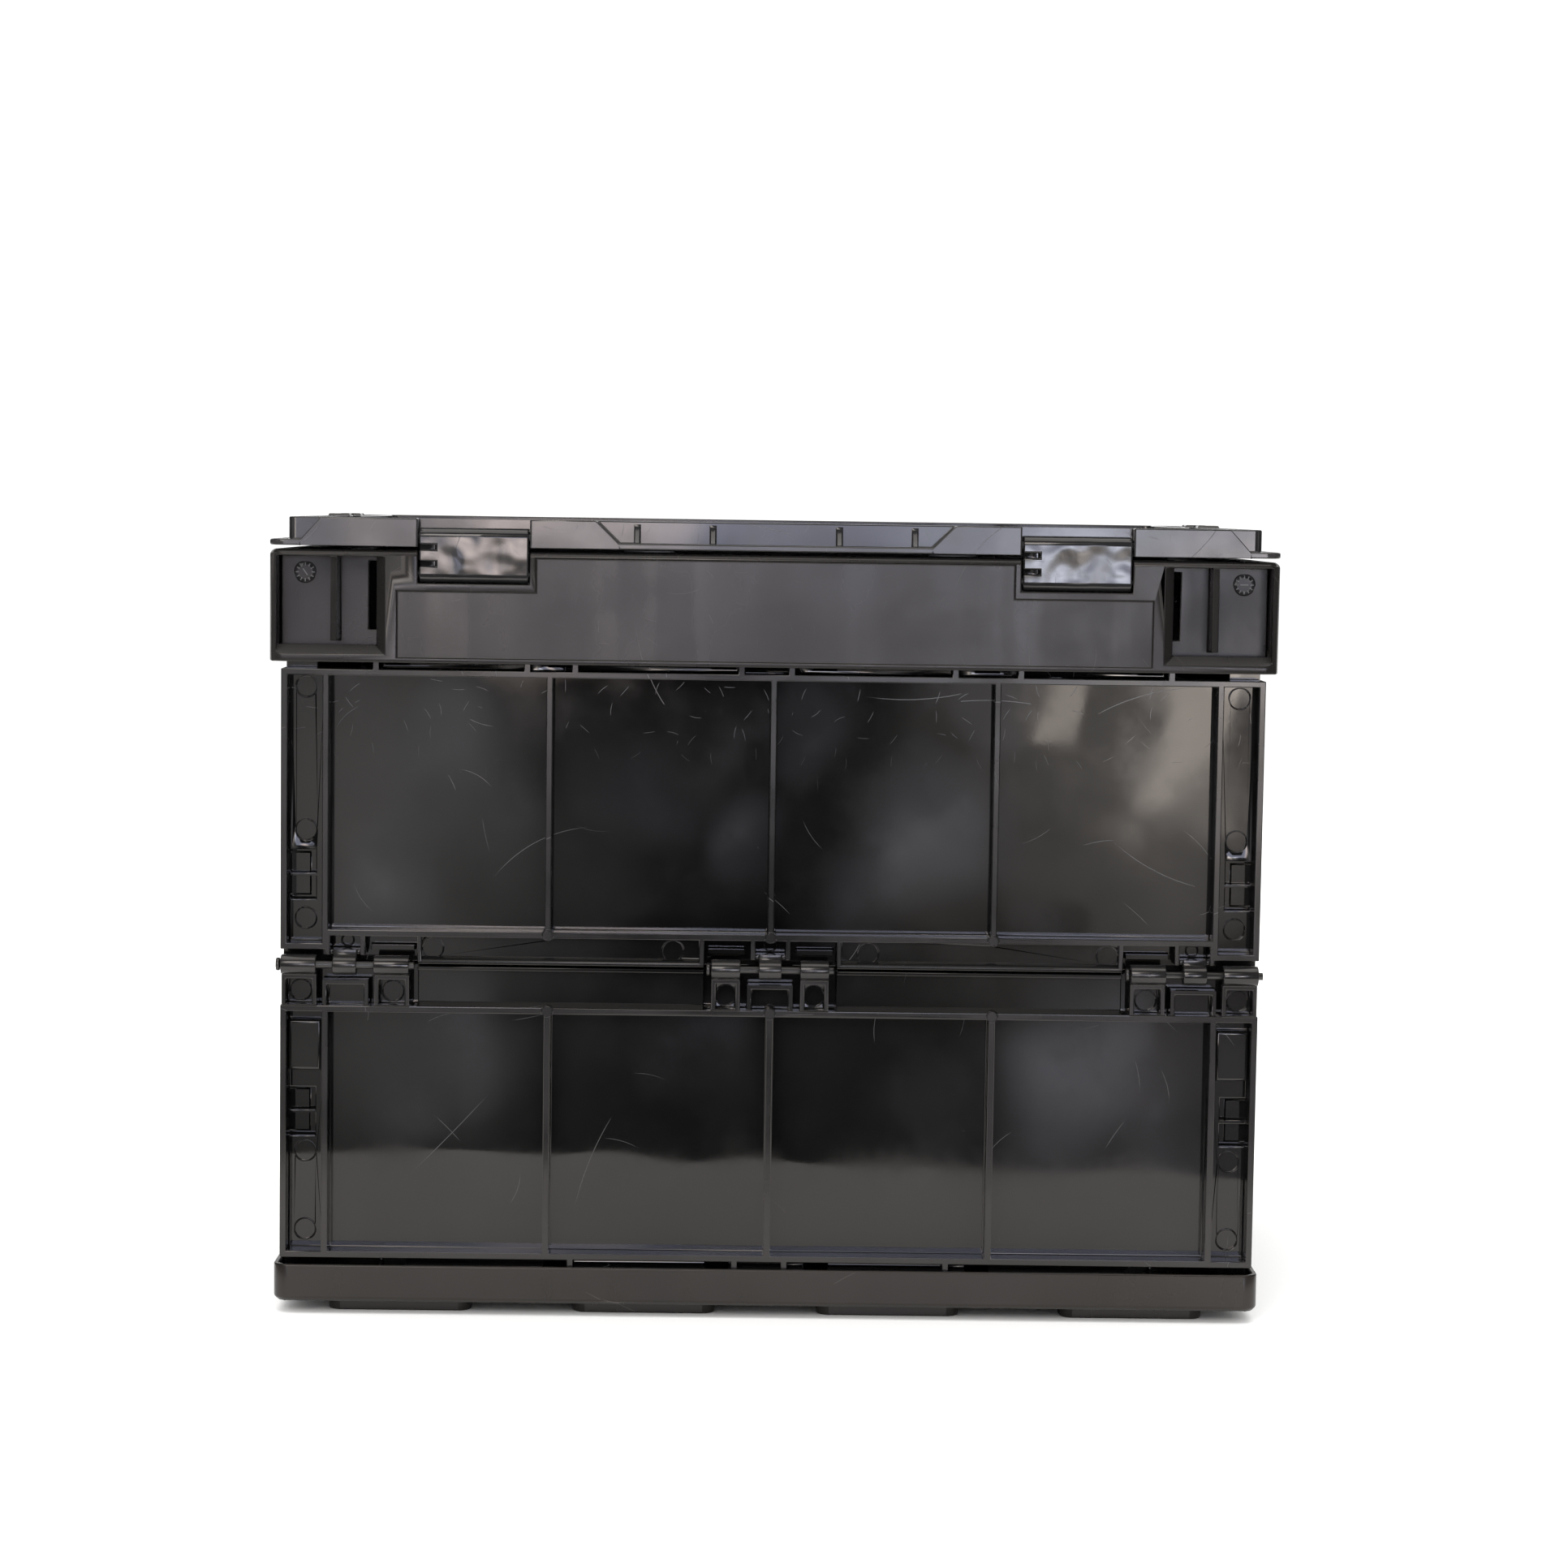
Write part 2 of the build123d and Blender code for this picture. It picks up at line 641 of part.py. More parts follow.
def top_frame():
    """The moulded rectangular frame, open below, that hangs on the long walls and carries the lid."""
    frame = rounded_box(half_length, half_width, frame_bottom, frame_top, frame_corner_radius)
    frame = fillet(frame.edges().group_by(Axis.Z)[-1], frame_edge_radius)
    frame -= rounded_box(half_length - frame_wall, half_width - frame_wall, frame_bottom - overlap,
                         flange_bottom, frame_corner_radius - frame_wall)
    frame -= rounded_box(half_length - frame_opening_setback, frame_inner_face, frame_bottom,
                         frame_top + overlap, frame_corner_radius - frame_inner_wall)
    frame = frame_side(frame)
    frame = turned(frame_side(turned(frame)))
    for side, height in ((-1, left_pivot_height), (1, right_pivot_height)):
        x = side * end_pivot_x
        for y in end_lug_places:
            stem = block(x - lug_radius, x + lug_radius, y - lug_width / 2, y + lug_width / 2, height,
                         flange_bottom + overlap)
            eye = rod_y(x, y - lug_width / 2, y + lug_width / 2, height, lug_radius)
            frame += stem + eye
            frame -= rod_y(x, y - lug_width, y + lug_width, height, hole_radius)
    return frame


def end_wall(side, pivot_height):
    """One end wall, hung from the top frame, with its grip opening and outside ribs."""
    x_out = side * end_outer
    x_in = side * end_inner
    x_skin = side * end_skin_outer
    x_pivot = side * end_pivot_x
    half = end_half_width
    top = pivot_height - end_panel_drop
    wall = block(x_skin, x_in, -half, half, end_wall_bottom, pivot_height)
    ribs = [block(x_out, x_skin, -half, half, z, z + rib) for z in (end_wall_bottom, top - rib)]
    ribs += [block(x_out, x_skin, -half, half, z - rib / 2, z + rib / 2) for z in end_cross_ribs]
    uprights = list(end_rib_places) + [half - rib / 2, -half + rib / 2]
    ribs += [block(x_out, x_skin, y - rib / 2, y + rib / 2, end_wall_bottom, top) for y in uprights]
    wall += ribs
    wall += rod_y(x_pivot, -half, half, pivot_height, barrel_radius)
    deep = barrel_radius + moulded_gap
    gaps = [block(x_pivot - deep, x_pivot + deep, y - lug_gap, y + lug_gap, pivot_height - deep,
                  pivot_height + deep) for y in end_lug_places]
    wall -= gaps
    wall += rod_y(x_pivot, -half, half, pivot_height, peg_radius)
    grip = Plane.YZ * RectangleRounded(grip_width, grip_height, grip_corner)
    border = Plane.YZ * RectangleRounded(grip_width + 2 * rib, grip_height + 2 * rib, grip_corner + rib)
    grip_z = grip_bottom + grip_height / 2
    x_low = min(x_out, x_in)
    wall += Pos(x_low, 0, grip_z) * extrude(border, amount=wall_thickness)
    wall -= Pos(x_low - overlap, 0, grip_z) * extrude(grip, amount=wall_thickness + 2 * overlap)
    for z0, z1 in (lower_window, upper_window):
        for y in (-half, half):
            out = y + end_lock_proud if y > 0 else y - end_lock_proud
            middle = (z0 + z1) / 2
            wall += block(x_out, x_out - side * end_lock_thickness, y, out, middle - end_lock_height / 2,
                          middle + end_lock_height / 2)
    return wall


def meeting_edge():
    """The toothed line, as points in X and Y, along which the two flaps meet."""
    points = []
    teeth = int(half_length // lid_tooth_pitch)
    for i in range(-teeth, teeth):
        depth = lid_tooth_depth if i % 2 == 0 else -lid_tooth_depth
        x0 = i * lid_tooth_pitch
        start = x0 + lid_tooth_slope / 2 if i > -teeth else -half_length - overlap
        end = x0 + lid_tooth_pitch - lid_tooth_slope / 2 if i < teeth - 1 else half_length + overlap
        points += [(start, depth - lid_meeting_gap / 2), (end, depth - lid_meeting_gap / 2)]
    return points


def hinge_blocks():
    """The two thick blocks on the lid's long edge that hold the links."""
    blocks = []
    low_out, top_out = [half_length - setback for setback in block_end_setback]
    low_in, top_in = [link_notch[0] - reach for reach in block_inner_reach]
    for side in (-1, 1):
        outline = [(low_in, lid_lip_bottom), (low_out, lid_lip_bottom), (low_out, lip_top),
                   (top_out, lid_ring_top), (top_in, lid_ring_top), (low_in, lip_top)]
        blocks.append(prism_y([(side * x, z) for x, z in outline], -half_width, -ring_outer_y + overlap))
    return blocks


def front_lid():
    """The front flap: lip, raised ring, sunk deck, hinge blocks and toothed meeting edge."""
    deep = 3 * lid_tooth_depth
    lid = rounded_box(half_length, half_width, lid_lip_bottom, lip_top, frame_corner_radius)
    lid = fillet(lid.edges().group_by(Axis.Z)[0], lid_edge_radius)
    lid += rounded_box(ring_outer_x, ring_outer_y, lid_lip_bottom, lid_ring_top, lid_ring_corner)
    lid -= rounded_box(ring_inner_x, ring_inner_y, lid_deck_top, lid_ring_top + overlap, lid_ring_corner)
    lid -= rounded_box(ring_inner_x, ring_inner_y, lid_lip_bottom - overlap, lid_deck_top - lid_wall,
                       lid_ring_corner)
    hollow = rounded_box(ring_outer_x - lid_wall, ring_outer_y - lid_wall, lid_lip_bottom - overlap,
                         lid_ring_top - lid_wall, lid_hollow_corner)
    hollow -= rounded_box(ring_inner_x + lid_wall, ring_inner_y + lid_wall, lid_lip_bottom - 2 * overlap,
                          lid_ring_top, lid_hollow_corner)
    lid -= hollow
    rib_bottom = lid_lip_bottom + lid_rib_lift
    rib_top = lid_deck_top - lid_wall / 2
    lid += [block(x - lid_rib / 2, x + lid_rib / 2, -ring_outer_y + overlap, deep, rib_bottom, rib_top)
            for x in lid_rib_places]
    lid += [block(-ring_outer_x + overlap, ring_outer_x - overlap, y, y + lid_rib, rib_bottom, rib_top)
            for y in lid_cross_rib_places]
    lid += hinge_blocks()
    for x in gusset_places:
        lid += prism_x([(-half_width + lid_rib, lip_top - lid_edge_radius),
                        (-ring_outer_y + lid_edge_radius, lip_top - lid_edge_radius),
                        (-ring_outer_y + lid_edge_radius, lid_ring_top - overlap)],
                       x - lid_rib / 2, x + lid_rib / 2)
    edge = meeting_edge()
    outer_x, outer_y = half_length + overlap, -half_width - overlap
    keep = [(-outer_x, outer_y), (outer_x, outer_y)] + edge[::-1]
    lid &= prism_z(keep, lid_lip_bottom - overlap, overall_height + overlap)
    closing_y = -2 * lid_tooth_depth
    lid += block(-ring_outer_x + overlap, ring_outer_x - overlap, closing_y - lid_rib, closing_y,
                 rib_bottom, rib_top)
    back_y = -link_axis_y + link_reach
    for x0, x1 in both_sides(*link_notch):
        lid += block(x0 - cheek, x1 + cheek, -ring_outer_y, -ring_inner_y, lid_lip_bottom,
                     lid_ring_top - lid_edge_radius)
        lid -= block(x0, x1, -half_width - overlap, back_y, lid_lip_bottom - overlap,
                     lid_ring_top + overlap)
        lid -= rod_x(x0 - pin_grip, x1 + pin_grip, -link_axis_y, link_upper_axis, pin_hole)
    y1 = -seal_lug_setback
    for x in (-ring_outer_x + seal_lug_inset, ring_outer_x - seal_lug_inset):
        lug = block(x - seal_lug_width / 2, x + seal_lug_width / 2, y1 - seal_lug_length, y1,
                    lid_ring_top - lid_wall, overall_height)
        hole = Pos(x, y1 - seal_lug_length / 2, lid_ring_top) * Cylinder(seal_hole_radius, 4 * lid_wall)
        lid = lid + lug - hole
    return lid


def link(x0, x1):
    """One double-pivot hinge link, with its two grooved ends at the low-X side."""
    y = -link_axis_y
    body = block(x0, x1, y - link_radius, y + link_radius, link_lower_axis, link_upper_axis)
    body += [rod_x(x0, x1, y, z, link_radius) for z in (link_lower_axis, link_upper_axis)]
    middle = (link_lower_axis + link_upper_axis) / 2
    for low in (middle + link_tongue / 2, middle - link_tongue / 2 - link_groove):
        body -= block(x0 - overlap, x0 + link_tab_length, y - link_radius - overlap,
                      y - link_radius + link_groove_depth, low, low + link_groove)
    return body - [rod_x(x0 - overlap, x1 + overlap, y, z, pin_hole)
                   for z in (link_lower_axis, link_upper_axis)]


def link_pins(z):
    """The two short pins at one height of the front hinge."""
    grip = pin_grip - pin_end_gap
    return [rod_x(x0 - grip, x1 + grip, -link_axis_y, z, link_pin_radius)
            for x0, x1 in both_sides(*link_notch)]


notch_in, notch_out = link_notch
right_link = link(notch_in + link_side_gap, notch_out - link_side_gap)
left_link = link(-notch_out + link_side_gap, -notch_in - link_side_gap)
front_pieces = {
    "lower_wall": front_lower_wall(),
    "upper_wall": front_upper_wall(),
    "fold_rods": Compound(children=hinge_rods()),
    "lid": front_lid(),
    "left_link": left_link,
    "right_link": right_link,
    "frame_link_pins": Compound(children=link_pins(link_lower_axis)),
    "lid_link_pins": Compound(children=link_pins(link_upper_axis)),
}
pieces = {"base_tray": base_tray(), "top_frame": top_frame()}
pieces["left_end_wall"] = end_wall(-1, left_pivot_height)
pieces["right_end_wall"] = end_wall(1, right_pivot_height)
swapped = {"left_link": "right_link", "right_link": "left_link"}
for name, shape in front_pieces.items():
    pieces["front_" + name] = shape
    pieces["rear_" + swapped.get(name, name)] = turned(shape)

os.makedirs("parts", exist_ok=True)
for name, shape in pieces.items():
    export_step(shape, os.path.join("parts", name + ".step"))
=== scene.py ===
import json
import math

import bmesh
import bpy
from mathutils import Matrix, Vector
from mathutils.bvhtree import BVHTree


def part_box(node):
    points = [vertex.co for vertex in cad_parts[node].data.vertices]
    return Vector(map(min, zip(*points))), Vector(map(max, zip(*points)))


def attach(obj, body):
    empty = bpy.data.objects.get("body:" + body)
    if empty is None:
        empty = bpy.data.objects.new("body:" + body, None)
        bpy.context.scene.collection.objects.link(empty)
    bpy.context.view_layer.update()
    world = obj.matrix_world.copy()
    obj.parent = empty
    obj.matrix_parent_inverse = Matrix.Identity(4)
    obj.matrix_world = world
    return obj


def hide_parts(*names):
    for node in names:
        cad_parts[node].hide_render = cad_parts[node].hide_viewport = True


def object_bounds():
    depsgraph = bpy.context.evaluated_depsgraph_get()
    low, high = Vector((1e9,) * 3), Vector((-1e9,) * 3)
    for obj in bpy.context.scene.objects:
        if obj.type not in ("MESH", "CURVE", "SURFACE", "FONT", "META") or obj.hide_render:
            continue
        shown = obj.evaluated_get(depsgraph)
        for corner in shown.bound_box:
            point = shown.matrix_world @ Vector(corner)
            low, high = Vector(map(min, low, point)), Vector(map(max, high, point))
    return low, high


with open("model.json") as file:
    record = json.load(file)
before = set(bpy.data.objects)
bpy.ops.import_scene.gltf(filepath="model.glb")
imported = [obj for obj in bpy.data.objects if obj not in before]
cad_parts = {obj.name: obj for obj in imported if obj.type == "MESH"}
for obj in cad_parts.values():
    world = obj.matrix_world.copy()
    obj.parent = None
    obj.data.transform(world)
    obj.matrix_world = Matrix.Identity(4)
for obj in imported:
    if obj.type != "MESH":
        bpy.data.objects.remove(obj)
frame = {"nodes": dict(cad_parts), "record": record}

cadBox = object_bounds()
cadNodes = frame["nodes"]
bodyOf = {node: body for body, members in frame["record"]["behaviour"]["bodies"].items() for node in members}
slotOf = {part["node"]: part["material_slot"] for part in frame["record"]["subparts"]}
print("frame loaded:", len(cadNodes), "parts")


cameraValues = {
    "place": (-0.0107, -1.5216, 0.3259),
    "lens": 79.7,
    "sensor": 36.0,
    "nearest": 0.05,
    "farthest": 60.0,
    "downDegrees": 4.58,
    "rightDegrees": 0.63,
    "rollDegrees": 0.82,
}

stageValues = {
    "tableFront": -0.455,
    "tableSide": 0.62,
    "tableBack": 0.55,
    "floorReach": 14.0,
    "floorColour": (0.96, 0.96, 0.955, 1.0),
    "floorMottle": 0.985,
    "floorMottleScale": 3.0,
    "floorRoughness": 0.95,
    "skyColour": (1.0, 1.0, 1.0, 1.0),
    "skyStrength": 1.12,
    "roomColour": (0.055, 0.056, 0.062, 1.0),
    "roomStrength": 0.22,
}


def makeCamera(values):
    data = bpy.data.cameras.new("mainCamera")
    data.lens = values["lens"]
    data.sensor_width = values["sensor"]
    data.clip_start = values["nearest"]
    data.clip_end = values["farthest"]
    camera = bpy.data.objects.new("mainCamera", data)
    bpy.context.scene.collection.objects.link(camera)
    turn = Matrix.Rotation(math.radians(-values["rightDegrees"]), 4, "Z")
    tilt = Matrix.Rotation(math.radians(90 - values["downDegrees"]), 4, "X")
    roll = Matrix.Rotation(math.radians(values["rollDegrees"]), 4, "Z")
    camera.matrix_world = Matrix.Translation(values["place"]) @ turn @ tilt @ roll
    bpy.context.scene.camera = camera


def meshObject(name, verts, faces):
    mesh = bpy.data.meshes.new(name)
    mesh.from_pydata([Vector(v) for v in verts], [], faces)
    mesh.update()
    obj = bpy.data.objects.new(name, mesh)
    bpy.context.scene.collection.objects.link(obj)
    return obj


def stageSheet(name, corners, material):
    sheet = meshObject(name, corners, [(0, 1, 2, 3)])
    sheet.data.materials.append(material)
    return sheet


def newMaterial(name):
    material = bpy.data.materials.new(name)
    material.use_nodes = True
    tree = material.node_tree
    shader = tree.nodes["Principled BSDF"]
    return material, tree, shader


def addNode(tree, kind, **settings):
    node = tree.nodes.new(kind)
    for key, value in settings.items():
        setattr(node, key, value)
    return node


def floorMaterial(values):
    material, tree, shader = newMaterial("paleFloor")
    colour = values["floorColour"]
    coords = addNode(tree, "ShaderNodeTexCoord")
    noise = addNode(tree, "ShaderNodeTexNoise")
    noise.inputs["Scale"].default_value = values["floorMottleScale"]
    ramp = addNode(tree, "ShaderNodeValToRGB")
    ramp.color_ramp.elements[0].color = tuple(c * values["floorMottle"] for c in colour[:3]) + (1.0,)
    ramp.color_ramp.elements[1].color = colour
    tree.links.new(coords.outputs["Object"], noise.inputs["Vector"])
    tree.links.new(noise.outputs["Fac"], ramp.inputs["Fac"])
    tree.links.new(ramp.outputs["Color"], shader.inputs["Base Color"])
    shader.inputs["Roughness"].default_value = values["floorRoughness"]
    shader.inputs["Specular IOR Level"].default_value = 0.0
    return material


def glowMaterial(name, colour, strength, soft):
    # a glowing card that others show through; soft cards fade towards their edges
    material = bpy.data.materials.new(name)
    material.use_nodes = True
    tree = material.node_tree
    tree.nodes.clear()
    out = addNode(tree, "ShaderNodeOutputMaterial")
    glow = addNode(tree, "ShaderNodeEmission")
    glow.inputs["Color"].default_value = colour
    glow.inputs["Strength"].default_value = strength
    if soft:
        coords = addNode(tree, "ShaderNodeTexCoord")
        ball = addNode(tree, "ShaderNodeTexGradient", gradient_type="SPHERICAL")
        power = addNode(tree, "ShaderNodeMath", operation="MULTIPLY")
        power.inputs[1].default_value = strength
        tree.links.new(coords.outputs["Object"], ball.inputs["Vector"])
        tree.links.new(ball.outputs["Fac"], power.inputs[0])
        tree.links.new(power.outputs[0], glow.inputs["Strength"])
    clear = addNode(tree, "ShaderNodeBsdfTransparent")
    both = addNode(tree, "ShaderNodeAddShader")
    tree.links.new(glow.outputs[0], both.inputs[0])
    tree.links.new(clear.outputs[0], both.inputs[1])
    tree.links.new(both.outputs[0], out.inputs["Surface"])
    return material


def makeStage(values):
    floor = floorMaterial(values)
    side, front, back = values["tableSide"], values["tableFront"], values["tableBack"]
    far = values["floorReach"]
    strips = {
        "tableTop": (-side, front, side, back),
        "floorFront": (-far, -far, far, front),
        "floorBack": (-far, back, far, far),
        "floorLeft": (-far, front, -side, back),
        "floorRight": (side, front, far, back),
    }
    for name, (x0, y0, x1, y1) in strips.items():
        strip = stageSheet(name, [(x0, y0, 0), (x1, y0, 0), (x1, y1, 0), (x0, y1, 0)], floor)
        strip.visible_glossy = name in ("tableTop", "floorBack")


def makeSky(values):
    world = bpy.data.worlds.new("studio")
    bpy.context.scene.world = world
    world.use_nodes = True
    tree = world.node_tree
    tree.nodes.clear()
    out = addNode(tree, "ShaderNodeOutputWorld")
    sky = addNode(tree, "ShaderNodeBackground")
    sky.inputs["Color"].default_value = values["skyColour"]
    sky.inputs["Strength"].default_value = values["skyStrength"]
    room = addNode(tree, "ShaderNodeBackground")
    room.inputs["Color"].default_value = values["roomColour"]
    room.inputs["Strength"].default_value = values["roomStrength"]
    rays = addNode(tree, "ShaderNodeLightPath")
    mix = addNode(tree, "ShaderNodeMixShader")
    tree.links.new(rays.outputs["Is Glossy Ray"], mix.inputs["Fac"])
    tree.links.new(sky.outputs[0], mix.inputs[1])
    tree.links.new(room.outputs[0], mix.inputs[2])
    tree.links.new(mix.outputs[0], out.inputs["Surface"])


roomCards = {
    # centre, half width and height, colour, strength, soft: what the glossy faces mirror
    "roomRight": ((0.44, -2.5, 0.06), (0.34, 0.54), (0.88, 0.86, 0.84, 1), 1.9, True),
    "roomLeft": ((-0.46, -2.5, -0.02), (0.32, 0.50), (0.86, 0.87, 0.88, 1), 1.5, True),
    "roomLow": ((0.42, -2.5, -0.30), (0.26, 0.16), (0.74, 0.74, 0.84, 1), 0.80, True),
    "windowTall": ((0.47, -2.49, 0.10), (0.055, 0.085), (1.0, 0.93, 0.86, 1), 5.0, False),
    "windowSlim": ((0.325, -2.49, 0.15), (0.024, 0.055), (1.0, 0.93, 0.86, 1), 4.5, False),
    "windowLow": ((0.40, -2.49, -0.03), (0.030, 0.018), (1.0, 0.93, 0.86, 1), 3.5, False),
    "linkRight": ((0.34, -2.49, 0.27), (0.17, 0.11), (0.78, 0.86, 1.0, 1), 15.0, True),
    "blueSill": ((0.10, -2.5, 0.42), (0.90, 0.19), (0.68, 0.75, 1.0, 1), 5.5, False),
    "warmSill": ((-0.24, -2.48, 0.35), (0.22, 0.22), (1.0, 0.88, 0.81, 1), 13.0, True),
    "warmRight": ((0.63, -2.48, 0.23), (0.19, 0.17), (1.0, 0.95, 0.92, 1), 19.0, True),
    "highWindow": ((-0.15, -2.5, 1.75), (1.10, 0.70), (1.0, 0.97, 0.93, 1), 2.2, True),
    "highLeft": ((-2.6, -1.6, 1.3), (0.60, 0.80), (0.96, 0.98, 1.0, 1), 2.0, True),
    "highRight": ((2.6, -1.4, 1.2), (0.60, 0.80), (1.0, 0.96, 0.92, 1), 2.0, True),
}

# small soft clouds: x and z of the spot on the front wall that mirrors each, its half size and strength
roomClouds = (
    (0.064, 0.196, 0.085, 1.5), (0.034, 0.176, 0.060, 0.8), (-0.012, 0.200, 0.070, 1.1),
    (0.012, 0.236, 0.050, 0.6), (-0.052, 0.215, 0.065, 0.5), (-0.128, 0.232, 0.080, 0.7),
    (-0.152, 0.176, 0.075, 0.8), (-0.104, 0.206, 0.060, 0.5), (0.090, 0.244, 0.040, 0.9),
    (-0.120, 0.112, 0.085, 0.7), (-0.030, 0.108, 0.050, 0.5), (0.122, 0.108, 0.100, 1.4),
    (0.062, 0.092, 0.045, 0.4), (-0.150, 0.080, 0.060, 0.5), (0.160, 0.075, 0.060, 0.8),
)
mirrorSpot = {
    "spread": 2.706,
    "shiftX": 0.018,
    "shiftZ": -0.5546,
    "depth": -2.47,
    "tallness": 1.2,
    "colour": (0.78, 0.82, 1.0, 1),
}


def makeRoomCards(cards):
    for name, (centre, half, colour, strength, soft) in cards.items():
        halfX, halfZ = half
        card = meshObject(name, [(-1, 0, -1), (1, 0, -1), (1, 0, 1), (-1, 0, 1)], [(0, 3, 2, 1)])
        card.location = centre
        card.scale = (halfX, 1, halfZ)
        card.data.materials.append(glowMaterial(name, colour, strength, soft))
        card.visible_camera = False
        card.visible_diffuse = False
        card.visible_shadow = False


def cloudCards(clouds, spot):
    # cards that the front wall mirrors at the places given
    cards = {}
    for number, (x, z, half, strength) in enumerate(clouds):
        centre = (spot["spread"] * x + spot["shiftX"], spot["depth"], spot["spread"] * z + spot["shiftZ"])
        size = (half, spot["tallness"] * half)
        cards["cloud" + str(number)] = (centre, size, spot["colour"], strength, True)
    return cards


lightValues = {
    # place, what it points at, size, power, colour
    "overhead": ((0.0, -0.25, 2.2), (0, 0, 0.2), (2.6, 2.0), 34.0, (1.0, 0.99, 0.97)),
    "backdrop": ((0.0, 1.9, 1.1), (0, 0, 0.32), (3.6, 1.2), 22.0, (1.0, 1.0, 1.0)),
    "front": ((-0.9, -2.6, 1.5), (0, 0, 0.16), (1.4, 1.0), 26.0, (1.0, 0.98, 0.96)),
}


def makeLight(name, place, aim, size, power, colour):
    data = bpy.data.lights.new(name, "AREA")
    data.shape = "RECTANGLE"
    data.size, data.size_y = size
    data.energy = power
    data.color = colour
    lamp = bpy.data.objects.new(name, data)
    bpy.context.scene.collection.objects.link(lamp)
    lamp.location = place
    lamp.rotation_euler = (Vector(aim) - Vector(place)).to_track_quat("-Z", "Y").to_euler()


makeCamera(cameraValues)
makeStage(stageValues)
makeSky(stageValues)
makeRoomCards(roomCards)
makeRoomCards(cloudCards(roomClouds, mirrorSpot))
for lightName, light in lightValues.items():
    makeLight(lightName, *light)
bpy.context.scene.view_settings.view_transform = "Standard"
print("camera, floor and light made")


def mixColours(tree, fac, low, high):
    # each colour is a plain value or another node's output
    mix = addNode(tree, "ShaderNodeMix", data_type="RGBA")
    for socket, colour in ((mix.inputs[6], low), (mix.inputs[7], high)):
        if isinstance(colour, tuple):
            socket.default_value = colour
        else:
            tree.links.new(colour, socket)
    tree.links.new(fac, mix.inputs[0])
    return mix.outputs[2]


def noiseFac(tree, vector, scale, detail=2.0, roughness=0.5):
    noise = addNode(tree, "ShaderNodeTexNoise")
    noise.inputs["Scale"].default_value = scale
    noise.inputs["Detail"].default_value = detail
    noise.inputs["Roughness"].default_value = roughness
    tree.links.new(vector, noise.inputs["Vector"])
    return noise.outputs["Fac"]


def mapRange(tree, value, low, high, newLow=0.0, newHigh=1.0, smooth=True):
    node = addNode(tree, "ShaderNodeMapRange", interpolation_type="SMOOTHSTEP" if smooth else "LINEAR")
    node.inputs["From Min"].default_value = low
    node.inputs["From Max"].default_value = high
    node.inputs["To Min"].default_value = newLow
    node.inputs["To Max"].default_value = newHigh
    tree.links.new(value, node.inputs["Value"])
    return node.outputs["Result"]


def maths(tree, operation, a, b=0.0):
    node = addNode(tree, "ShaderNodeMath", operation=operation)
    for socket, value in zip(node.inputs, (a, b)):
        if isinstance(value, (int, float)):
            socket.default_value = value
        else:
            tree.links.new(value, socket)
    return node.outputs[0]


def shifted(tree, vector, offset=(0, 0, 0), scale=(1, 1, 1)):
    node = addNode(tree, "ShaderNodeMapping")
    node.inputs["Location"].default_value = offset
    node.inputs["Scale"].default_value = scale
    tree.links.new(vector, node.inputs["Vector"])
    return node.outputs[0]


def mixNumbers(tree, fac, low, high):
    mix = addNode(tree, "ShaderNodeMix", data_type="FLOAT")
    for socket, value in zip(mix.inputs, (fac, None, low, high)):
        if value is not None:
            tree.links.new(value, socket)
    return mix.outputs[0]


def hairScratches(tree, vector, facing, cell, length, width, bend, share):
    # one thin curved line in some of the cells that space is cut into, each turned its own way
    cells = addNode(tree, "ShaderNodeTexVoronoi")
    cells.inputs["Scale"].default_value = 1.0 / cell
    tree.links.new(vector, cells.inputs["Vector"])
    chance = addNode(tree, "ShaderNodeSeparateColor")
    tree.links.new(cells.outputs["Color"], chance.inputs[0])
    fromCentre = addNode(tree, "ShaderNodeVectorMath", operation="SUBTRACT")
    tree.links.new(vector, fromCentre.inputs[0])
    tree.links.new(cells.outputs["Position"], fromCentre.inputs[1])
    turned = addNode(tree, "ShaderNodeVectorRotate", rotation_type="AXIS_ANGLE")
    tree.links.new(fromCentre.outputs[0], turned.inputs["Vector"])
    tree.links.new(facing, turned.inputs["Axis"])
    tree.links.new(maths(tree, "MULTIPLY", chance.outputs[0], math.tau), turned.inputs["Angle"])
    place = addNode(tree, "ShaderNodeSeparateXYZ")
    tree.links.new(turned.outputs[0], place.inputs[0])
    faces = addNode(tree, "ShaderNodeSeparateXYZ")
    tree.links.new(facing, faces.inputs[0])
    onEnd = maths(tree, "ABSOLUTE", faces.outputs["X"])
    onTop = maths(tree, "ABSOLUTE", faces.outputs["Z"])
    along = mixNumbers(tree, onEnd, place.outputs["X"], place.outputs["Y"])
    across = mixNumbers(tree, onTop, place.outputs["Z"], place.outputs["Y"])
    bow = maths(tree, "MULTIPLY", maths(tree, "SUBTRACT", chance.outputs[1], 0.5), bend / length)
    curve = maths(tree, "MULTIPLY", maths(tree, "MULTIPLY", along, along), bow)
    off = maths(tree, "ABSOLUTE", maths(tree, "SUBTRACT", across, curve))
    line = mapRange(tree, off, 0.0, width, 1.0, 0.0)
    fadeStart, tip = 0.2 * length, 0.5 * length
    ends = mapRange(tree, maths(tree, "ABSOLUTE", along), fadeStart, tip, 1.0, 0.0)
    kept = maths(tree, "LESS_THAN", chance.outputs[2], share)
    return maths(tree, "MULTIPLY", maths(tree, "MULTIPLY", line, ends), kept)


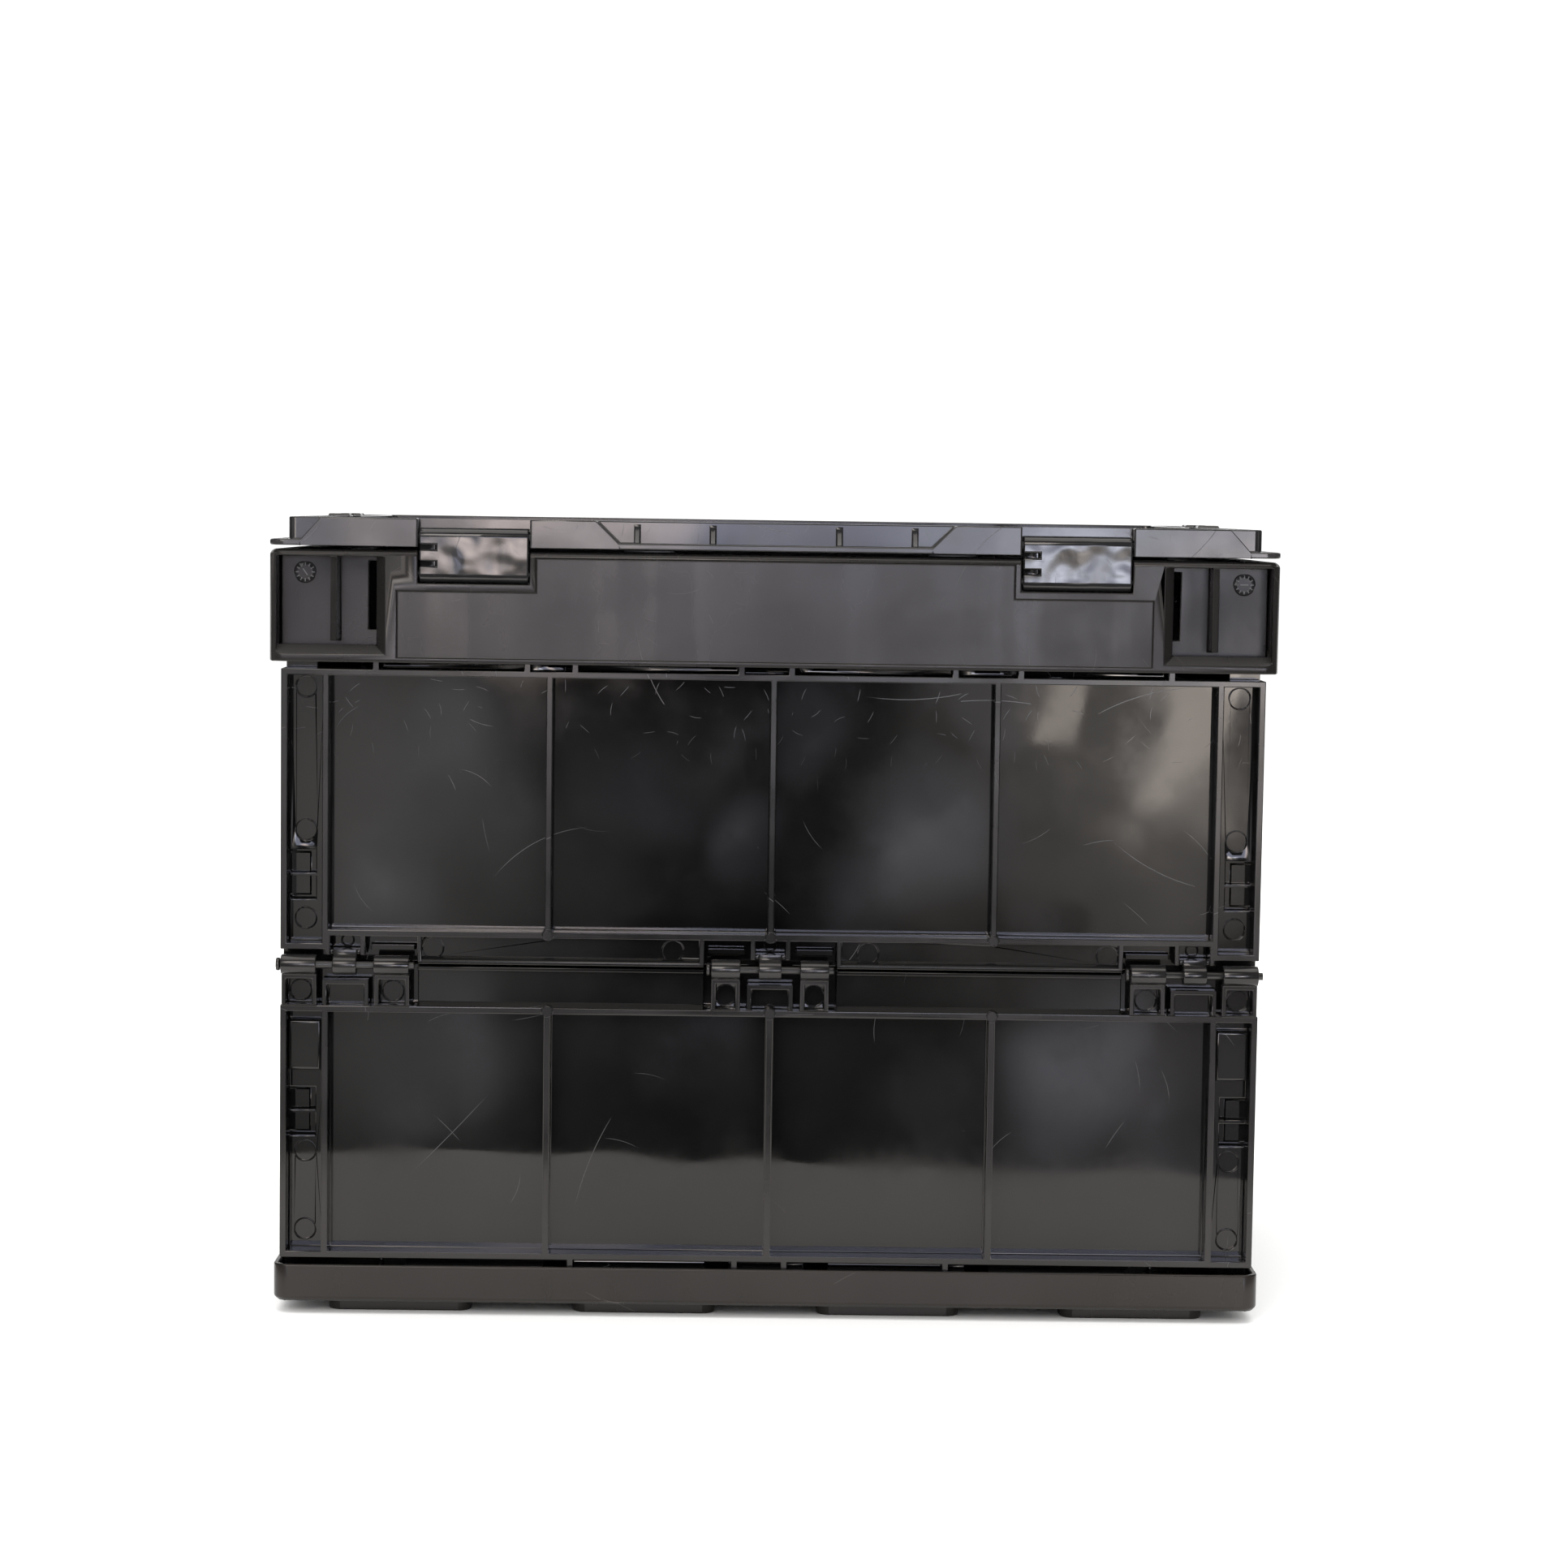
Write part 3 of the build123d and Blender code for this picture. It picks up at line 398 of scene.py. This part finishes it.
rubValues = {
    # how far inside the tote's box, on the ends and on the sides, rubbing starts and is full
    "endInsets": (0.0055, 0.0049),
    "sideInsets": (0.0065, 0.0050),
    "patchScale": 26.0,
    "patchDetail": 3.0,
    "patchRange": (0.3, 0.65),
    "leastRub": 0.45,
}


def rubbedFaces(tree, vector, values):
    # 1 on the outermost faces of the four sides, which rub against other totes
    halfLength, halfWidth, _ = cadBox[1]
    place = addNode(tree, "ShaderNodeSeparateXYZ")
    tree.links.new(vector, place.inputs[0])
    x = maths(tree, "ABSOLUTE", place.outputs["X"])
    y = maths(tree, "ABSOLUTE", place.outputs["Y"])
    onEnds = mapRange(tree, x, *[halfLength - inset for inset in values["endInsets"]])
    onSides = mapRange(tree, y, *[halfWidth - inset for inset in values["sideInsets"]])
    patches = noiseFac(tree, vector, values["patchScale"], values["patchDetail"])
    patchy = mapRange(tree, patches, *values["patchRange"], values["leastRub"], 1.0)
    rubbed = maths(tree, "MULTIPLY", maths(tree, "MAXIMUM", onEnds, onSides), patchy)
    return rubbed, place.outputs["Z"]


scratchKinds = {
    # cell size, length, width, bow, share of cells
    "long": (0.060, 0.048, 0.00024, 1.1, 0.28),
    "middle": (0.024, 0.016, 0.00020, 0.9, 0.30),
    "short": (0.009, 0.0060, 0.00018, 0.7, 0.50),
}
scratchShifts = {"middle": (0.3, 0.1, 0.7), "short": (0.9, 0.4, 0.2)}
scratchPatches = {"scale": 11.0, "detail": 1.0, "range": (0.42, 0.6)}


def allScratches(tree, vector, facing, height, rubTop):
    # long and middling scratches everywhere, short ones only high on the upper panels
    longOnes = hairScratches(tree, vector, facing, *scratchKinds["long"])
    middlePlace = shifted(tree, vector, scratchShifts["middle"])
    middling = hairScratches(tree, middlePlace, facing, *scratchKinds["middle"])
    shortPlace = shifted(tree, vector, scratchShifts["short"])
    short = hairScratches(tree, shortPlace, facing, *scratchKinds["short"])
    short = maths(tree, "MULTIPLY", short, mapRange(tree, height, *rubTop))
    patches = noiseFac(tree, vector, scratchPatches["scale"], scratchPatches["detail"])
    patches = mapRange(tree, patches, *scratchPatches["range"])
    middling = maths(tree, "MULTIPLY", middling, patches)
    return maths(tree, "MAXIMUM", maths(tree, "MAXIMUM", longOnes, middling), short)


plasticSurface = {
    # what all the plastics share: detail and roughness of each noise, and the part of it that shows
    "cloudDetail": (4.0, 0.55),
    "cloudRange": (0.3, 0.7),
    "smudgeShift": (3.0, 1.0, 2.0),
    "smudgeDetail": (5.0, 0.6),
    "smudgeRange": (0.35, 0.72),
    "flowStretch": 0.05,
    "flowDetail": 2.0,
    "flowRange": (0.5, 0.75),
    "waveDetail": 1.0,
    "grainDetail": 3.0,
    "grainHeight": 0.0001,
    "scratchRough": 0.25,
    "bending": 1.49,
}


def blackPlastic(name, values, surface):
    # clouded black with rubbed outer faces, thin scratches, flow marks, smudges, gentle waves and a grain
    material, tree, shader = newMaterial(name)
    coords = addNode(tree, "ShaderNodeTexCoord")
    vector, facing = coords.outputs["Object"], coords.outputs["Normal"]
    rubbed, height = rubbedFaces(tree, vector, rubValues)
    cloudy = noiseFac(tree, vector, values["cloudScale"], *surface["cloudDetail"])
    cloudy = mapRange(tree, cloudy, *surface["cloudRange"])
    base = mixColours(tree, cloudy, values["dark"], values["light"])
    rubShown = maths(tree, "MULTIPLY", rubbed, values["rubbed"])
    worn = mixColours(tree, rubShown, base, values["rubColour"])
    lines = allScratches(tree, vector, facing, height, values["rubTop"])
    scratch = maths(tree, "MULTIPLY", lines, values["scratches"])
    scuffed = mixColours(tree, scratch, worn, values["scratchColour"])
    tree.links.new(scuffed, shader.inputs["Base Color"])

    smudgePlace = shifted(tree, vector, surface["smudgeShift"])
    smudge = noiseFac(tree, smudgePlace, values["smudgeScale"], *surface["smudgeDetail"])
    rough = mapRange(tree, smudge, *surface["smudgeRange"], values["roughLow"], values["roughHigh"])
    rough = maths(tree, "ADD", rough, maths(tree, "MULTIPLY", lines, surface["scratchRough"]))
    rough = maths(tree, "ADD", rough, maths(tree, "MULTIPLY", rubbed, values["rubRough"]))
    flowPlace = shifted(tree, vector, scale=(1, 1, surface["flowStretch"]))
    flow = noiseFac(tree, flowPlace, values["flowScale"], surface["flowDetail"])
    flow = mapRange(tree, flow, *surface["flowRange"], 0.0, values["flow"])
    tree.links.new(maths(tree, "SUBTRACT", rough, flow), shader.inputs["Roughness"])

    wave = addNode(tree, "ShaderNodeBump")
    wave.inputs["Strength"].default_value = 1.0
    wave.inputs["Distance"].default_value = values["waveHeight"]
    waves = noiseFac(tree, vector, values["waveScale"], surface["waveDetail"])
    tree.links.new(waves, wave.inputs["Height"])
    grain = addNode(tree, "ShaderNodeBump")
    grain.inputs["Strength"].default_value = values["grain"]
    grain.inputs["Distance"].default_value = surface["grainHeight"]
    grains = noiseFac(tree, vector, values["grainScale"], surface["grainDetail"])
    tree.links.new(grains, grain.inputs["Height"])
    tree.links.new(wave.outputs[0], grain.inputs["Normal"])
    tree.links.new(grain.outputs[0], shader.inputs["Normal"])
    shader.inputs["IOR"].default_value = surface["bending"]
    shader.inputs["Specular IOR Level"].default_value = values["shine"]
    # painted warm tint on all reflections, standing in for warm room light
    shader.inputs["Specular Tint"].default_value = values["paintedWarmTint"]
    return material


# the heights between which short scratches set in, the strength of reflections, and a warm tint painted onto
# every reflection in place of warm room light
sideFinishAndPaintedWarmth = {"rubTop": (0.205, 0.45), "shine": 0.5, "paintedWarmTint": (1.0, 0.945, 0.905, 1)}
panelFinishAndPaintedWarmth = dict(sideFinishAndPaintedWarmth, rubTop=(0.205, 0.262))
frameFinishAndPaintedWarmth = dict(sideFinishAndPaintedWarmth, shine=0.43)

plasticValues = {
    "satin_black": {
        "dark": (0.008, 0.0072, 0.007, 1), "light": (0.014, 0.013, 0.0128, 1), "cloudScale": 7.0,
        "flow": 0.10, "flowScale": 55.0,
        "scratches": 0.35, "scratchColour": (0.14, 0.13, 0.125, 1), "smudgeScale": 16.0,
        "roughLow": 0.27, "roughHigh": 0.42, "waveHeight": 0.0009, "waveScale": 10.0,
        "grain": 0.12, "grainScale": 1400.0,
        "rubbed": 0.25, "rubColour": (0.024, 0.022, 0.021, 1), "rubRough": 0.0, **frameFinishAndPaintedWarmth,
    },
    "panel_black": {
        "dark": (0.004, 0.004, 0.004, 1), "light": (0.008, 0.008, 0.008, 1), "cloudScale": 14.0,
        "flow": 0.01, "flowScale": 30.0,
        "scratches": 0.38, "scratchColour": (0.13, 0.13, 0.135, 1), "smudgeScale": 22.0,
        "roughLow": 0.03, "roughHigh": 0.11, "waveHeight": 0.0011, "waveScale": 11.0,
        "grain": 0.008, "grainScale": 900.0,
        "rubbed": 0.70, "rubColour": (0.019, 0.018, 0.018, 1), "rubRough": 0.14, **panelFinishAndPaintedWarmth,
    },
    "lid_black": {
        "dark": (0.014, 0.014, 0.015, 1), "light": (0.024, 0.023, 0.024, 1), "cloudScale": 12.0,
        "flow": 0.05, "flowScale": 50.0,
        "scratches": 0.40, "scratchColour": (0.13, 0.13, 0.13, 1), "smudgeScale": 18.0,
        "roughLow": 0.10, "roughHigh": 0.20, "waveHeight": 0.0006, "waveScale": 22.0,
        "grain": 0.04, "grainScale": 1100.0,
        "rubbed": 0.35, "rubColour": (0.045, 0.043, 0.042, 1), "rubRough": 0.05, **sideFinishAndPaintedWarmth,
    },
    "gloss_black": {
        "dark": (0.010, 0.010, 0.010, 1), "light": (0.016, 0.016, 0.017, 1), "cloudScale": 30.0,
        "flow": 0.02, "flowScale": 90.0,
        "scratches": 0.20, "scratchColour": (0.12, 0.12, 0.12, 1), "smudgeScale": 60.0,
        "roughLow": 0.06, "roughHigh": 0.16, "waveHeight": 0.0006, "waveScale": 70.0,
        "grain": 0.02, "grainScale": 900.0,
        "rubbed": 0.0, "rubColour": (0.040, 0.040, 0.040, 1), "rubRough": 0.0, **sideFinishAndPaintedWarmth,
    },
}

dialPlastic = dict(
    plasticValues["satin_black"],
    dark=(0.10, 0.10, 0.10, 1), light=(0.16, 0.16, 0.16, 1),
)
basePlastic = dict(
    plasticValues["satin_black"],
    dark=(0.007, 0.0058, 0.005, 1), light=(0.013, 0.011, 0.0096, 1),
    rubbed=0.35, rubColour=(0.019, 0.0158, 0.0135, 1),
)

drawnSteel = {
    "drawn": 0.08,
    "streakScale": 1800.0,
    "streakDetail": 3.0,
    "streakRange": (0.3, 0.7),
    "metal": 0.85,
}

rodValues = {
    "hinge_rod": {
        "dark": (0.045, 0.043, 0.042, 1), "light": (0.09, 0.086, 0.082, 1), "rough": (0.28, 0.42),
        **drawnSteel,
    },
    "link_pin": {
        "dark": (0.05, 0.05, 0.05, 1), "light": (0.10, 0.10, 0.10, 1), "rough": (0.25, 0.40),
        **drawnSteel,
    },
}


def darkSteel(name, values):
    material, tree, shader = newMaterial(name)
    vector = addNode(tree, "ShaderNodeTexCoord").outputs["Object"]
    drawn = shifted(tree, vector, scale=(values["drawn"], 1, 1))
    streaks = noiseFac(tree, drawn, values["streakScale"], values["streakDetail"])
    base = mixColours(tree, streaks, values["dark"], values["light"])
    tree.links.new(base, shader.inputs["Base Color"])
    rough = mapRange(tree, streaks, *values["streakRange"], *values["rough"])
    tree.links.new(rough, shader.inputs["Roughness"])
    shader.inputs["Metallic"].default_value = values["metal"]
    return material


materials = {name: blackPlastic(name, values, plasticSurface) for name, values in plasticValues.items()}
materials.update({name: darkSteel(name, values) for name, values in rodValues.items()})
materials["dial_grey"] = blackPlastic("dial_grey", dialPlastic, plasticSurface)
materials["base_black"] = blackPlastic("base_black", basePlastic, plasticSurface)
print("materials made:", len(materials))


edgeRadius = {
    "satin_black": 0.0005,
    "base_black": 0.0006,
    "panel_black": 0.00035,
    "lid_black": 0.0005,
    "gloss_black": 0.0006,
    "hinge_rod": 0.0004,
    "link_pin": 0.0003,
}

softening = {
    "weld": 0.000005,
    "mergeDegrees": 0.6,
    "sharpDegrees": 34,
    "segments": 2,
    "furthest": 0.5,  # how far a rounded corner may stand off the sharp shape, in edge radii
    "flatDegrees": 0.3,
    "gentleDegrees": 21.0,
    "widestStrip": 0.0025,
}


def flatPatches(build, flat):
    # groups of faces that lie in one plane
    seen = set()
    for first in build.faces:
        if first.index in seen:
            continue
        seen.add(first.index)
        patch, waiting = [], [first]
        while waiting:
            face = waiting.pop()
            patch.append(face)
            for edge in face.edges:
                if edge.calc_face_angle(math.pi) < flat:
                    for other in edge.link_faces:
                        if other.index not in seen:
                            seen.add(other.index)
                            waiting.append(other)
        yield patch


def smoothCurves(mesh, values):
    # narrow flat strips that turn gently into a neighbour are smooth, and all others stay flat
    low, high = math.radians(values["flatDegrees"]), math.radians(values["gentleDegrees"])
    build = bmesh.new()
    build.from_mesh(mesh)
    build.faces.index_update()
    for patch in flatPatches(build, low):
        area = sum(face.calc_area() for face in patch)
        edges = {edge for face in patch for edge in face.edges}
        longest = max(edge.calc_length() for edge in edges)
        turns = any(low <= edge.calc_face_angle(0.0) < high for edge in edges)
        for face in patch:
            face.smooth = turns and area / longest < values["widestStrip"]
    build.to_mesh(mesh)
    build.free()


def pulledBack(mesh, sharpShape, reach):
    # corners that the rounding threw off the surface return to it
    for vertex in mesh.vertices:
        nearest, _, _, distance = sharpShape.find_nearest(vertex.co)
        if distance > reach:
            vertex.co = nearest
    mesh.update()


def softenedPiece(node, values):
    # a copy of the node's mesh with every sharp edge rounded as a mould leaves it
    slot = slotOf[node]
    mesh = cadNodes[node].data.copy()
    build = bmesh.new()
    build.from_mesh(mesh)
    bmesh.ops.remove_doubles(build, verts=build.verts, dist=values["weld"])
    oneFace = math.radians(values["mergeDegrees"])
    bmesh.ops.dissolve_limit(build, angle_limit=oneFace, verts=build.verts, edges=build.edges)
    bmesh.ops.triangulate(build, faces=build.faces)
    sharpShape = BVHTree.FromBMesh(build)
    build.to_mesh(mesh)
    build.free()
    mesh.materials.clear()
    mesh.materials.append(materials[slot])
    piece = bpy.data.objects.new(node + "_moulded", mesh)
    bpy.context.scene.collection.objects.link(piece)
    bevel = piece.modifiers.new("edges", "BEVEL")
    bevel.width = edgeRadius[slot]
    bevel.segments = values["segments"]
    bevel.limit_method = "ANGLE"
    bevel.angle_limit = math.radians(values["sharpDegrees"])
    bevel.use_clamp_overlap = False
    view = bpy.context.evaluated_depsgraph_get()
    view.update()
    finished = bpy.data.meshes.new_from_object(piece.evaluated_get(view))
    finished.name = node + "_moulded"
    pulledBack(finished, sharpShape, values["furthest"] * edgeRadius[slot])
    smoothCurves(finished, values)
    piece.modifiers.clear()
    piece.data = finished
    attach(piece, bodyOf[node])
    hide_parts(node)
    return piece


dialValues = {
    "ticks": 12,
    "ringRadius": 0.0032,
    "tickLength": 0.0012,
    "tickWidth": 0.0004,
    "height": 0.0002,
    "leftDegrees": 35,
    "rightDegrees": 90,
    # insets from the frame's box to the middle of a corner panel's face
    "fromEnd": 0.0125,
    "fromSide": 0.0166,
    "belowTop": 0.0106,
    "proud": 0.00005,
}


def treeSocket(tree, name, kind, value):
    socket = tree.interface.new_socket(name=name, in_out="INPUT", socket_type=kind)
    if value is not None:
        socket.default_value = value
    return socket.identifier


def join(tree, outputs):
    node = tree.nodes.new("GeometryNodeJoinGeometry")
    for output in outputs:
        tree.links.new(output, node.inputs[0])
    return node.outputs[0]


def dialTree(values):
    # a ring of raised ticks with an arrow across its middle, facing along -Y
    tree = bpy.data.node_groups.new("dateDial", "GeometryNodeTree")
    tree.interface.new_socket(name="Geometry", in_out="OUTPUT", socket_type="NodeSocketGeometry")
    names = {
        "Ticks": treeSocket(tree, "Ticks", "NodeSocketInt", values["ticks"]),
        "Ring Radius": treeSocket(tree, "Ring Radius", "NodeSocketFloat", values["ringRadius"]),
        "Tick Length": treeSocket(tree, "Tick Length", "NodeSocketFloat", values["tickLength"]),
        "Tick Width": treeSocket(tree, "Tick Width", "NodeSocketFloat", values["tickWidth"]),
        "Height": treeSocket(tree, "Height", "NodeSocketFloat", values["height"]),
        "Turn": treeSocket(tree, "Turn", "NodeSocketFloat", 0.0),
        "Material": treeSocket(tree, "Material", "NodeSocketMaterial", None),
    }
    given = tree.nodes.new("NodeGroupInput")
    shown = tree.nodes.new("NodeGroupOutput")

    ring = addNode(tree, "GeometryNodeMeshCircle")
    tree.links.new(given.outputs["Ticks"], ring.inputs["Vertices"])
    tree.links.new(given.outputs["Ring Radius"], ring.inputs["Radius"])
    tickSize = addNode(tree, "ShaderNodeCombineXYZ")
    tree.links.new(given.outputs["Tick Length"], tickSize.inputs["X"])
    tree.links.new(given.outputs["Tick Width"], tickSize.inputs["Y"])
    tree.links.new(given.outputs["Height"], tickSize.inputs["Z"])
    tick = addNode(tree, "GeometryNodeMeshCube")
    tree.links.new(tickSize.outputs[0], tick.inputs["Size"])
    spot = addNode(tree, "GeometryNodeInputPosition")
    outward = addNode(tree, "FunctionNodeAlignEulerToVector", axis="X", pivot_axis="Z")
    tree.links.new(spot.outputs[0], outward.inputs["Vector"])
    ticks = addNode(tree, "GeometryNodeInstanceOnPoints")
    tree.links.new(ring.outputs[0], ticks.inputs["Points"])
    tree.links.new(tick.outputs[0], ticks.inputs["Instance"])
    tree.links.new(outward.outputs[0], ticks.inputs["Rotation"])

    shaftSize = addNode(tree, "ShaderNodeCombineXYZ")
    tree.links.new(given.outputs["Tick Width"], shaftSize.inputs["X"])
    tree.links.new(given.outputs["Ring Radius"], shaftSize.inputs["Y"])
    tree.links.new(given.outputs["Height"], shaftSize.inputs["Z"])
    shaft = addNode(tree, "GeometryNodeMeshCube")
    tree.links.new(shaftSize.outputs[0], shaft.inputs["Size"])
    head = addNode(tree, "GeometryNodeMeshCone")
    head.inputs["Vertices"].default_value = 3
    tree.links.new(given.outputs["Tick Length"], head.inputs["Radius Bottom"])
    tree.links.new(given.outputs["Height"], head.inputs["Depth"])
    headUp = addNode(tree, "GeometryNodeTransform")
    tree.links.new(head.outputs[0], headUp.inputs["Geometry"])
    tree.links.new(shaftSize.outputs[0], headUp.inputs["Translation"])
    arrow = join(tree, [shaft.outputs[0], headUp.outputs[0]])
    spin = addNode(tree, "ShaderNodeCombineXYZ")
    tree.links.new(given.outputs["Turn"], spin.inputs["Z"])
    pointing = addNode(tree, "GeometryNodeTransform")
    tree.links.new(arrow, pointing.inputs["Geometry"])
    tree.links.new(spin.outputs[0], pointing.inputs["Rotation"])

    real = addNode(tree, "GeometryNodeRealizeInstances")
    tree.links.new(join(tree, [ticks.outputs[0], pointing.outputs[0]]), real.inputs[0])
    facing = addNode(tree, "GeometryNodeTransform")
    facing.inputs["Rotation"].default_value = (math.radians(90), 0, 0)
    tree.links.new(real.outputs[0], facing.inputs["Geometry"])
    painted = addNode(tree, "GeometryNodeSetMaterial")
    tree.links.new(facing.outputs[0], painted.inputs["Geometry"])
    tree.links.new(given.outputs["Material"], painted.inputs["Material"])
    tree.links.new(painted.outputs[0], shown.inputs[0])
    return tree, names


def grownMesh(name, tree, names, values):
    # the tree's result as a plain mesh
    carrier = bpy.data.objects.new(name, bpy.data.meshes.new(name))
    bpy.context.scene.collection.objects.link(carrier)
    grow = carrier.modifiers.new("grow", "NODES")
    grow.node_group = tree
    for key, value in values.items():
        grow[names[key]] = value
    view = bpy.context.evaluated_depsgraph_get()
    view.update()
    mesh = bpy.data.meshes.new_from_object(carrier.evaluated_get(view))
    carrier.modifiers.clear()
    bpy.data.objects.remove(carrier)
    return mesh


def makeDials(values):
    # moulded date dials on the four corner panels of the frame
    tree, names = dialTree(values)
    _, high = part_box("top_frame")
    dialX = high[0] - values["fromEnd"]
    dialY = high[1] - values["fromSide"] + values["proud"]
    dialZ = high[2] - values["belowTop"]
    build = bmesh.new()
    for side in (-1, 1):
        for end, degrees in ((-1, values["leftDegrees"]), (1, values["rightDegrees"])):
            given = {"Turn": math.radians(degrees), "Material": materials["dial_grey"]}
            mesh = grownMesh("dial", tree, names, given)
            place = Matrix.Translation((end * dialX, side * dialY, dialZ))
            flip = Matrix.Rotation(math.pi if side > 0 else 0.0, 4, "Z")
            mesh.transform(place @ flip)
            build.from_mesh(mesh)
    for face in build.faces:
        face.material_index = 0
    mesh = bpy.data.meshes.new("date_dials")
    build.to_mesh(mesh)
    build.free()
    mesh.materials.append(materials["dial_grey"])
    dials = bpy.data.objects.new("date_dials", mesh)
    bpy.context.scene.collection.objects.link(dials)
    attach(dials, bodyOf["top_frame"])


makeDials(dialValues)
print("date dials made")

pieces = [softenedPiece(node, softening) for node in sorted(cadNodes)]
triangles = sum(len(face.vertices) - 2 for piece in pieces for face in piece.data.polygons)
print("moulded pieces:", len(pieces), "triangles:", triangles)
